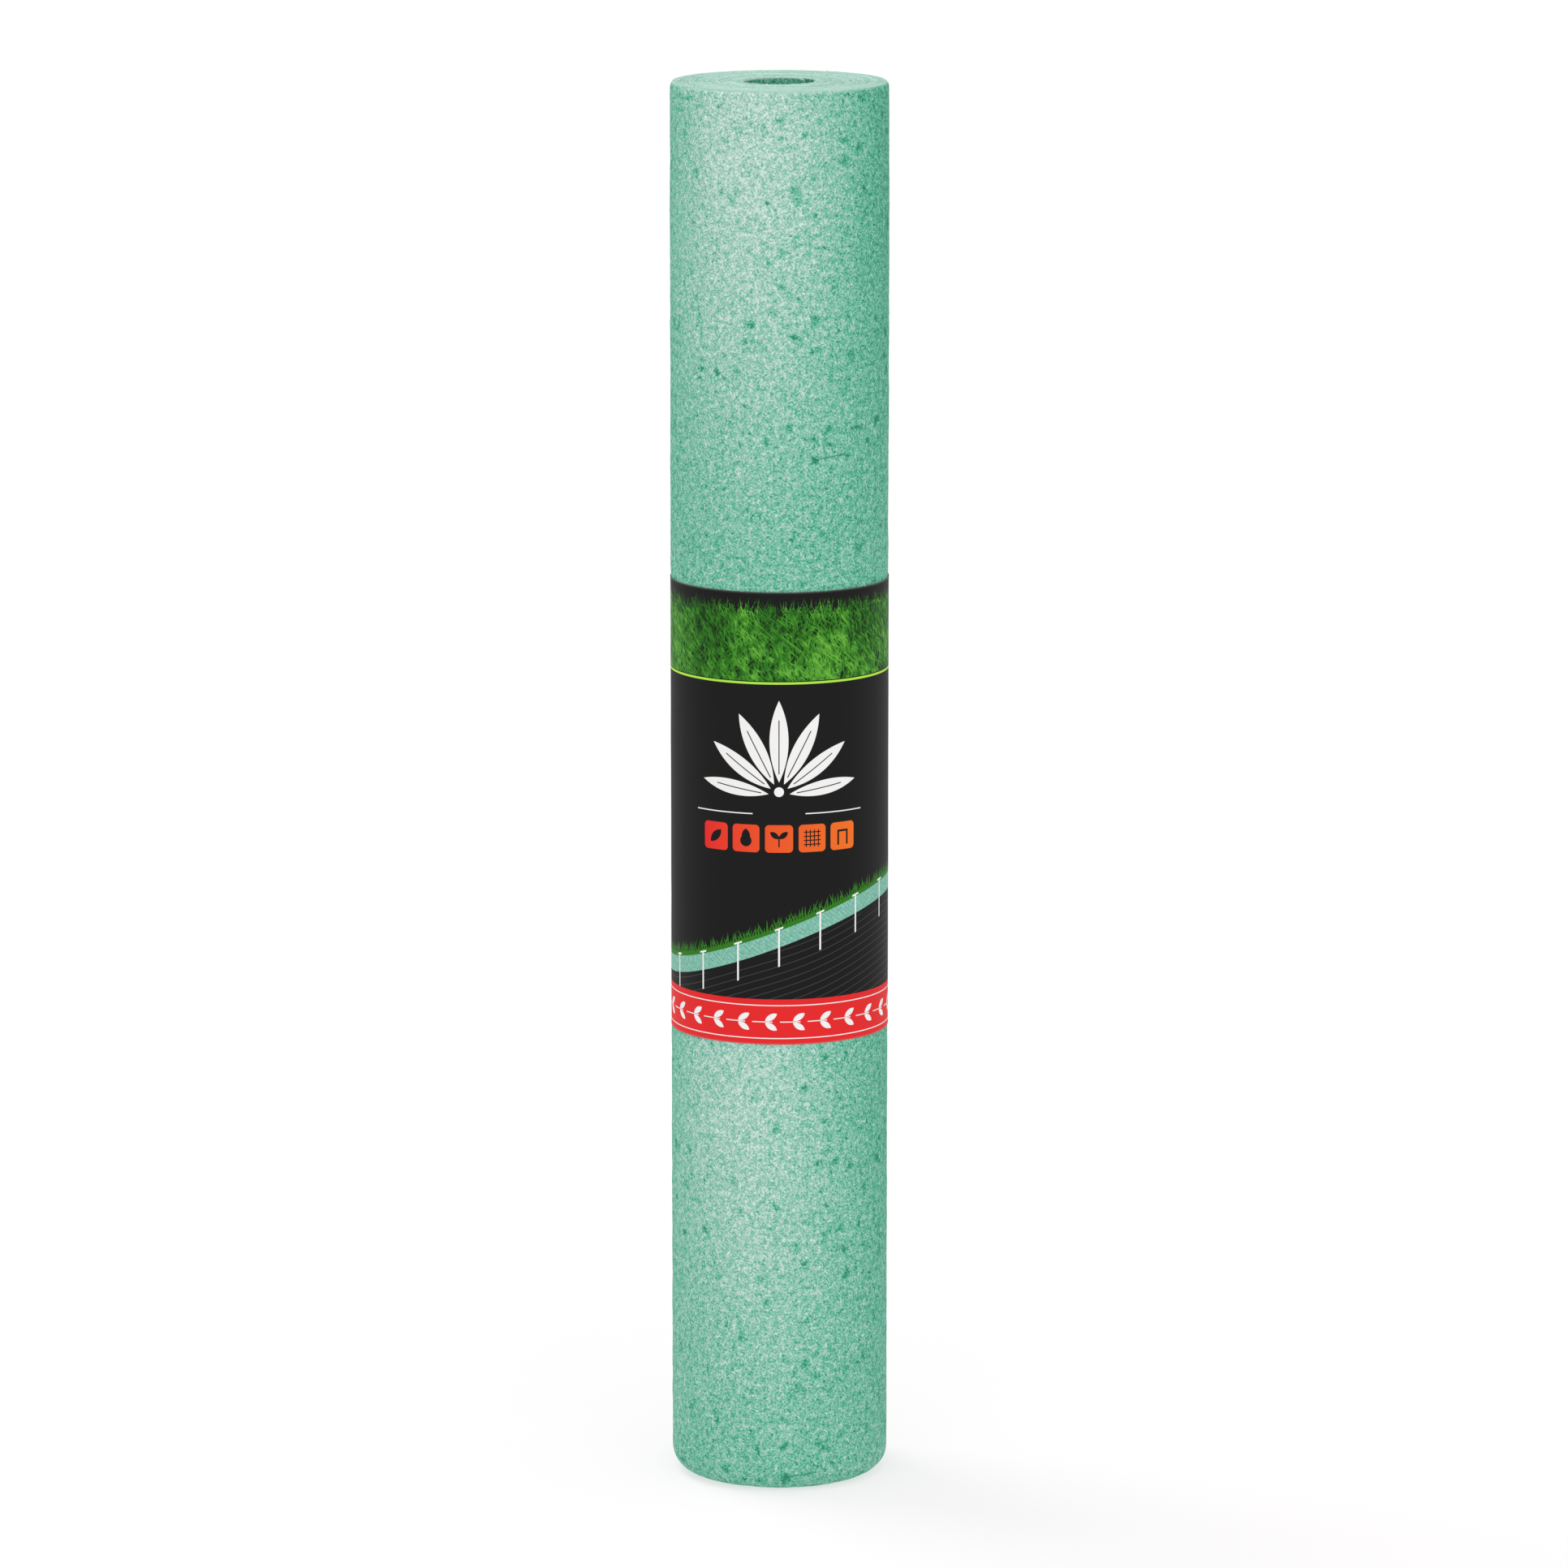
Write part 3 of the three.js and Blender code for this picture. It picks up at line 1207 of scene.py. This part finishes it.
@dataclass(frozen=True)
class FibreFinish:
    """Loose mulch fibres, each with its own shade."""

    deep: Colour = (0.100, 0.340, 0.235)
    middle: Colour = (0.300, 0.570, 0.460)
    pale: Colour = (0.560, 0.740, 0.670)

    def material(self) -> bpy.types.Material:
        """Builds the finish.

        Returns:
            The material.
        """
        canvas = Canvas("mulch_fibre")
        place = canvas.tree.nodes.new("ShaderNodeTexCoord").outputs["Object"]
        grain = canvas.tree.nodes.new("ShaderNodeTexNoise")
        grain.inputs["Scale"].default_value = 420.0
        grain.inputs["Detail"].default_value = 2.0
        canvas.tree.links.new(place, grain.inputs["Vector"])
        streak = Field(canvas.tree, grain.outputs["Fac"]) - 0.5
        shade = canvas.mark(SHADE) + streak * 0.5
        stops = [(0.0, self.deep), (0.5, self.middle), (1.0, self.pale)]
        colour = canvas.ramp(shade, stops)
        canvas.shader.inputs["Specular IOR Level"].default_value = 0.2
        return canvas.finish(colour, streak * 0.2 + 0.85, streak + 0.5, 0.15 * MM)


class Ink(Enum):
    """The colours that the band is printed in."""

    BLACK = (0.0036, 0.0036, 0.0035)
    WHITE = (0.860, 0.860, 0.850)
    RED = (0.760, 0.017, 0.019)
    ORANGE = (0.850, 0.170, 0.014)
    MINT = (0.300, 0.600, 0.490)
    NIGHT_GREEN = (0.002, 0.016, 0.001)
    DEEP_GREEN = (0.007, 0.068, 0.003)
    GRASS_GREEN = (0.026, 0.185, 0.009)
    BRIGHT_GREEN = (0.130, 0.430, 0.040)
    LIME = (0.420, 0.780, 0.060)
    STONE = (0.050, 0.052, 0.050)
    PAPER = (0.480, 0.475, 0.450)


@dataclass(frozen=True)
class Leaf:
    """A pointed leaf, where two equal circles cross.

    Attributes:
        base: Its lower tip, round the roll from the front line and up from the band's edge.
        lean: How far it leans from upright, in degrees.
        length: From tip to tip.
        width: At the middle.
    """

    base: tuple[float, float]
    lean: float
    length: float
    width: float

    def outline(self, x: Field, y: Field, rib: float = 0.0) -> Field:
        """Distance to the leaf's edge, from the circle on the far side of its midrib.

        Args:
            x: Metres round the roll.
            y: Metres up the band.
            rib: Width of the midrib that is left out of the leaf, or 0.

        Returns:
            The distance, negative inside.
        """
        lean = np.radians(self.lean)
        right, up = x - self.base[0], y - self.base[1]
        from_middle = right * np.sin(lean) + up * np.cos(lean) - self.length / 2.0
        off_rib = abs(right * np.cos(lean) - up * np.sin(lean))
        circle = (self.length**2 + self.width**2) / (4.0 * self.width)
        blade = from_middle.away(off_rib + (circle - self.width / 2.0)) - circle
        if not rib:
            return blade
        off_ends = abs(from_middle + 0.07 * self.length) - 0.33 * self.length
        return blade.either(-(off_rib - rib / 2.0).either(off_ends))


@dataclass(frozen=True)
class PrintedPaper:
    """The band's finish: a plain garden print of turf, leaves, tiles and a planted bank.

    Places are in metres round the roll from its front line, and up from the band's lower edge.
    """

    radius: float
    red_top: float = 66.0 * MM
    ground: float = 142.0 * MM  # mean height of the bank
    hill: float = 60.0 * MM  # how far the bank rises and falls
    tile_middle: float = 300.0 * MM
    tile_pitch: float = 48.0 * MM
    tile_half: float = 20.0 * MM
    fan_base: float = 368.0 * MM
    turf_low: float = 528.0 * MM
    turf_high: float = 618.0 * MM

    def turf(self, canvas: Canvas) -> tuple[bpy.types.NodeSocket, Field]:
        """A strip of turf with its blades' tips standing up from it.

        Args:
            canvas: The material under construction.

        Returns:
            The turf's colour, and where it shows.
        """
        blade = None
        for number, turn in enumerate((48.0, 76.0, 103.0, 136.0)):
            strand = canvas.hairs(3.3 * MM, 5.5, turn, 2.2 * number) * (0.7 + 0.1 * number)
            blade = strand if blade is None else blade.either(strand)
        tufts = canvas.noise(13.0 * MM, 3.0, 1.4, 80.0, shift=7.0) - 0.5
        lawn = canvas.noise(90.0 * MM, 1.0, shift=11.0) - 0.5
        green = canvas.ramp(
            blade * 0.9 + tufts * 0.75 + lawn * 0.7 - 0.04,
            [
                (0.0, Ink.NIGHT_GREEN.value),
                (0.30, Ink.DEEP_GREEN.value),
                (0.62, Ink.GRASS_GREEN.value),
                (1.0, Ink.BRIGHT_GREEN.value),
            ],
        )
        above = canvas.across - self.turf_high
        tips = above.inside()
        for number, lean in enumerate((-0.45, -0.1, 0.22, 0.5)):
            tips = tips.either(self.blades(canvas, above, 3.6 * MM, 30.0 * MM, lean, 0.31 * number))
        return green, tips.both((canvas.across * -1.0 + self.turf_low).inside())

    def blades(
        self, canvas: Canvas, above: Field, width: float, tallest: float, lean: float, shift: float
    ) -> Field:
        """A row of pointed blades: in each cell, a triangle of random height.

        Args:
            canvas: The material under construction.
            above: Metres above the line that the blades stand on.
            width: A blade's width at its foot.
            tallest: The tallest blade.
            lean: How far the blades lean, as a share of their height.
            shift: Where the cells start, as a share of a cell.

        Returns:
            1 on a blade.
        """
        cells = (canvas.along + above * lean) / width + shift
        number = cells.math("FLOOR")
        tip = canvas.chance(number + 40.0 * shift) * (0.8 * tallest) + 0.2 * tallest
        half = (above / tip) * -0.5 + 0.5
        return ((abs(cells - number - 0.5) - half) * width).inside()

    def fan(self, canvas: Canvas) -> Field:
        """Seven leaves spread from one foot, three of them the same on both sides.

        Args:
            canvas: The material under construction.

        Returns:
            1 on a leaf.
        """
        side = abs(canvas.along)
        leaves = [
            Leaf((0.0, self.fan_base + 14 * MM), 0.0, 118 * MM, 27 * MM),
            Leaf((7 * MM, self.fan_base + 11 * MM), 27.0, 113 * MM, 25 * MM),
            Leaf((12 * MM, self.fan_base + 5 * MM), 54.0, 108 * MM, 23 * MM),
            Leaf((15 * MM, self.fan_base - 3 * MM), 81.0, 104 * MM, 21 * MM),
        ]
        mask = None
        for leaf in leaves:
            drawn = leaf.outline(side, canvas.across, rib=1.5 * MM).inside()
            mask = drawn if mask is None else mask.either(drawn)
        foot = (canvas.along.away(canvas.across - self.fan_base) - 7.0 * MM).inside()
        return mask.either(foot)

    def tiles(self, canvas: Canvas) -> tuple[Field, Field]:
        """Five square tiles with round corners, and a small picture cut out of each.

        Args:
            canvas: The material under construction.

        Returns:
            Where the tiles show, and where their pictures do.
        """
        x, y = canvas.along, canvas.across - self.tile_middle
        number = (x / self.tile_pitch).math("ROUND")
        near = x - number * self.tile_pitch
        corner, half = 6.0 * MM, self.tile_half
        off_x, off_y = (abs(near) - (half - corner)).either(0.0), (abs(y) - (half - corner)).either(0.0)
        tile = (off_x.away(off_y) - corner).inside()
        tile = tile.both((abs(number) - 2.5).inside(0.1))
        pitch = self.tile_pitch
        seed = Leaf((-2.0 * pitch - 9 * MM, -9 * MM), 45.0, 26 * MM, 12 * MM).outline(x, y)
        drop_x = x + pitch
        drop = (drop_x.away(y + 3.5 * MM) - 8.5 * MM).both(
            Leaf((-pitch, -7 * MM), 0.0, 21 * MM, 12.5 * MM).outline(x, y)
        )
        stem = abs(x).either(abs(y + 4 * MM) - 7.0 * MM) - 1.0 * MM
        sprout = stem.both(Leaf((0.0, 0.0), 52.0, 16 * MM, 8 * MM).outline(abs(x), y))
        net_x, net_y = x - pitch, y
        mesh_x = abs((net_x / (6 * MM)).math("FRACT") - 0.5) * (6 * MM)
        mesh_y = abs((net_y / (6 * MM)).math("FRACT") - 0.5) * (6 * MM)
        net = mesh_x.both(mesh_y) - 0.8 * MM
        net = net.either(abs(net_x).either(abs(net_y)) - 12.5 * MM)
        pin_x = x - 2.0 * pitch
        pin = abs(abs(pin_x).either(y) - 7.5 * MM) - 1.5 * MM
        pin = pin.either((y + 13.0 * MM) * -1.0).either(abs(pin_x) - 10.0 * MM)
        pictures = seed.both(drop).both(sprout).both(net).both(pin)
        return tile, pictures.inside()

    def above_bank(self, canvas: Canvas) -> Field:
        """Height above the bank, whose line is one sine wave round the roll.

        Args:
            canvas: The material under construction.

        Returns:
            Metres.
        """
        line = (canvas.along / self.radius).math("SINE") * self.hill
        return canvas.across - line - self.ground

    def bank(self, canvas: Canvas) -> tuple[Field, Field, Field, Field]:
        """A planted bank that rises to the right: a netted mat on it, with blades and pins.

        Args:
            canvas: The material under construction.

        Returns:
            Where the mat, its net, the blades and the pins show.
        """
        above = self.above_bank(canvas)
        mat = (above.both((above * -1.0) + 24 * MM) * -1.0).inside()
        net_pitch = 6.0 * MM
        slanted = [(canvas.along + above * k) / net_pitch for k in (0.9, -0.9)]
        lines = [abs(s.math("FRACT") - 0.5) * net_pitch - 0.35 * MM for s in slanted]
        net = lines[0].both(lines[1]).inside(0.4 * MM).both(mat)
        blades = None
        for number, lean in enumerate((-0.35, 0.05, 0.4)):
            row = self.blades(canvas, above - 24 * MM, 4.2 * MM, 24 * MM, lean, 0.27 * number + 0.1)
            blades = row if blades is None else blades.either(row)
        rising = ((above - 23.5 * MM) * -1.0).inside()
        blades = blades.both(rising)
        pin_pitch = 60.0 * MM
        pin_x = abs(((canvas.along + 30 * MM) / pin_pitch).math("FRACT") - 0.5) * pin_pitch
        shaft = (pin_x - 1.3 * MM).either(abs(above + 1 * MM) - 27 * MM)
        head = (pin_x - 6.0 * MM).either(abs(above - 27 * MM) - 1.3 * MM)
        return mat, net, blades, shaft.both(head).inside()

    def contours(self, canvas: Canvas) -> Field:
        """Faint level lines in the ground below the bank.

        Args:
            canvas: The material under construction.

        Returns:
            1 on a line.
        """
        above = self.above_bank(canvas)
        wave = (canvas.along * (4.0 / self.radius)).math("SINE") * (2.5 * MM)
        line = abs(((above + wave) / (11 * MM)).math("FRACT") - 0.5) * (11 * MM) - 0.5 * MM
        return line.inside().both((above + 5 * MM).inside())

    def red_stripe(self, canvas: Canvas) -> tuple[Field, Field]:
        """The stripe at the band's foot, with a chain of paired leaves along it.

        Args:
            canvas: The material under construction.

        Returns:
            Where the stripe and the leaves show.
        """
        stripe = (canvas.across - self.red_top).inside()
        pitch = 40.0 * MM
        cell = ((canvas.along / pitch).math("FRACT") - 0.5) * pitch
        level = canvas.across - self.red_top / 2.0
        leaf = Leaf((0.0, 1.5 * MM), 58.0, 20 * MM, 8.5 * MM).outline(cell, abs(level))
        stalk = abs(level).either(abs(cell + 4 * MM) - 14.0 * MM) - 0.7 * MM
        rules = abs(abs(level) - 24.0 * MM) - 0.7 * MM
        return stripe, leaf.both(stalk).both(rules).inside()

    def rules(self, canvas: Canvas) -> Field:
        """Two thin lines beside the fan's foot.

        Args:
            canvas: The material under construction.

        Returns:
            1 on a line.
        """
        side = abs(abs(canvas.along) - 84 * MM) - 46 * MM
        beside = side.either(abs(canvas.across - (self.tile_middle + 36 * MM)) - 0.8 * MM)
        return beside.inside()

    def material(self) -> bpy.types.Material:
        """Builds the finish.

        Returns:
            The material.
        """
        canvas = Canvas("printed_paper")
        grain = canvas.noise(0.9 * MM, 2.0, shift=1.0)
        fibre = canvas.noise(1.1 * MM, 2.0, 6.0, 84.0, shift=2.0)
        black = canvas.ramp(grain, [(0.3, Ink.BLACK.value), (0.75, (0.0066, 0.0066, 0.0064))])
        colour = canvas.over(black, Ink.STONE.value, self.contours(canvas))
        mat, net, blades, pins = self.bank(canvas)
        colour = canvas.over(colour, Ink.GRASS_GREEN.value, blades)
        mottle = canvas.ramp(
            canvas.noise(5.0 * MM, 3.0, shift=5.0), [(0.3, (0.16, 0.44, 0.34)), (0.7, Ink.MINT.value)]
        )
        colour = canvas.over(colour, mottle, mat)
        colour = canvas.over(colour, (0.09, 0.30, 0.21), net * 0.8)
        colour = canvas.over(colour, Ink.WHITE.value, pins)
        green, turf = self.turf(canvas)
        colour = canvas.over(colour, green, turf)
        colour = canvas.over(colour, Ink.WHITE.value, self.fan(canvas).either(self.rules(canvas)))
        line = (abs(canvas.across - (self.turf_low - 3 * MM)) - 1.6 * MM).inside()
        colour = canvas.over(colour, Ink.LIME.value, line)
        tiles, pictures = self.tiles(canvas)
        glow = canvas.ramp(
            canvas.along * 4.2 + 0.5, [(0.0, Ink.RED.value), (1.0, Ink.ORANGE.value)]
        )
        colour = canvas.over(colour, glow, tiles.both(pictures * -1.0 + 1.0))
        stripe, chain = self.red_stripe(canvas)
        colour = canvas.over(colour, Ink.RED.value, stripe)
        colour = canvas.over(colour, Ink.WHITE.value, chain)
        colour = canvas.over(colour, Ink.PAPER.value, canvas.mark(EDGE) * (fibre * 0.8))
        roughness = grain * 0.12 + 0.56
        canvas.shader.inputs["Specular IOR Level"].default_value = 0.16
        return canvas.finish(colour, roughness, fibre * 0.5 + grain * 0.5, 0.05 * MM)


@dataclass(frozen=True)
class Studio:
    """A plain white floor, soft light from all round, and the camera at the photograph's angle."""

    radius: float
    floor_half: float = 60.0
    surround: float = 0.56  # light from all round
    key: float = 0.62  # light from the front
    side: float = 0.90  # light from high on the left and behind, for the shadow
    top: float = 0.95  # light from above
    floor_glow: float = 0.63  # keeps the floor white and its shadows faint
    floor_colour: Colour = (0.340, 0.324, 0.330)
    distance: float = 12.18
    pitch: float = np.radians(10.6)
    lens: float = 193.8
    sensor: float = 36.0
    aim: tuple[float, float, float] = (7.07 * MM, 0.0, 1014.5 * MM)

    def floor(self) -> None:
        """Lays the floor."""
        half = self.floor_half
        corners = [(-half, -half, 0.0), (half, -half, 0.0), (half, half, 0.0), (-half, half, 0.0)]
        mesh = bpy.data.meshes.new("studio_floor")
        mesh.from_pydata(corners, [], [(0, 1, 2, 3)])
        floor = bpy.data.objects.new("studio_floor", mesh)
        bpy.context.scene.collection.objects.link(floor)
        material = bpy.data.materials.new("studio_white")
        material.use_nodes = True
        shader = material.node_tree.nodes["Principled BSDF"]
        shader.inputs["Base Color"].default_value = (*self.floor_colour, 1.0)
        shader.inputs["Emission Color"].default_value = (1.0, 1.0, 1.0, 1.0)
        shader.inputs["Emission Strength"].default_value = self.floor_glow
        shader.inputs["Roughness"].default_value = 0.9
        shader.inputs["Specular IOR Level"].default_value = 0.0
        mesh.materials.append(material)

    def world(self) -> None:
        """Makes the surround: plain white to the camera, and a little dimmer as light."""
        world = bpy.data.worlds.new("studio")
        bpy.context.scene.world = world
        world.use_nodes = True
        tree = world.node_tree
        lit = tree.nodes["Background"]
        lit.inputs["Strength"].default_value = self.surround
        lit.inputs["Color"].default_value = (1.0, 1.0, 1.0, 1.0)
        seen = tree.nodes.new("ShaderNodeBackground")
        seen.inputs["Color"].default_value = (1.0, 1.0, 1.0, 1.0)
        seen.inputs["Strength"].default_value = 1.0
        path = tree.nodes.new("ShaderNodeLightPath")
        mix = tree.nodes.new("ShaderNodeMixShader")
        tree.links.new(path.outputs["Is Camera Ray"], mix.inputs[0])
        tree.links.new(lit.outputs[0], mix.inputs[1])
        tree.links.new(seen.outputs[0], mix.inputs[2])
        tree.links.new(mix.outputs[0], tree.nodes["World Output"].inputs["Surface"])

    def sun(self, name: str, towards: Vector, strength: float, spread: float) -> None:
        """Adds a soft light from far off.

        Args:
            name: The light's name.
            towards: Direction from the roll to the light.
            strength: Its strength.
            spread: How wide it looks, in degrees.
        """
        light = bpy.data.lights.new(name, "SUN")
        light.energy = strength
        light.angle = np.radians(spread)
        lamp = bpy.data.objects.new(name, light)
        lamp.rotation_euler = towards.to_track_quat("Z", "Y").to_euler()
        bpy.context.scene.collection.objects.link(lamp)

    def camera(self) -> None:
        """Sets the camera back from what it looks at, along its line of sight."""
        data = bpy.data.cameras.new("camera")
        data.lens = self.lens
        data.sensor_width = self.sensor
        data.clip_end = 4.0 * self.floor_half
        camera = bpy.data.objects.new("camera", data)
        back = Vector((0.0, -np.cos(self.pitch), np.sin(self.pitch)))
        camera.location = Vector(self.aim) + back * self.distance
        camera.rotation_euler = back.to_track_quat("Z", "Y").to_euler()
        bpy.context.scene.collection.objects.link(camera)
        bpy.context.scene.camera = camera

    def build(self) -> None:
        """Sets everything up."""
        self.floor()
        self.world()
        self.sun("key_light", Vector((0.05, -0.88, 0.46)), self.key, 70.0)
        self.sun("side_light", Vector((-0.42, 0.36, 0.83)), self.side, 28.0)
        self.sun("top_light", Vector((0.10, -0.15, 1.0)), self.top, 100.0)
        self.camera()
        bpy.context.scene.view_settings.view_transform = "Standard"


def dress(piece: bpy.types.Object, material: bpy.types.Material, node: str) -> None:
    """Gives a piece its finish and ties it to the frame.

    Args:
        piece: The finished piece.
        material: Its finish.
        node: The CAD node that it stands for.
    """
    piece.data.materials.append(material)
    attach(piece, "root")
    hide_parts(node)
    piece.data.calc_loop_triangles()
    LOG.info("%s: %d triangles", piece.name, len(piece.data.loop_triangles))


def build_mat(winding: Winding) -> None:
    """Builds the wound mat and the fibres on it.

    Args:
        winding: The spiral that the strip is wound on.
    """
    outer = OuterTurn(winding)
    felt = FeltFinish(outer).material()
    lining = InnerTurns(winding, "innermost_turn", 0.0, 1.0, face_rows=64)
    wound = InnerTurns(winding, "wound_turns", 1.0, winding.turns - 1.0)
    for piece in (lining.piece(), wound.piece(), *(outer.piece(half) for half in Half)):
        dress(piece, felt, "mat_roll")
    dress(LooseFibres(outer).piece(), FibreFinish().material(), "mat_roll")


def build_band(winding: Winding) -> None:
    """Builds the printed band.

    Args:
        winding: The spiral that the strip is wound on.
    """
    band = PaperBand(winding)
    paper = PrintedPaper(winding.sizes.radius).material()
    dress(band.piece(), paper, "label_band")


def main() -> None:
    """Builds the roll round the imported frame, and the studio."""
    logging.basicConfig(level=logging.INFO, format="%(name)s: %(message)s")
    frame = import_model()
    sizes = RollSizes.from_frame(frame["nodes"])
    Studio(sizes.radius).build()
    winding = Winding(sizes)
    LOG.info("%.2f turns round a bore of %.0f mm", winding.turns, 2000.0 * sizes.bore_radius)
    build_mat(winding)
    build_band(winding)


if __name__ == "__main__":
    main()
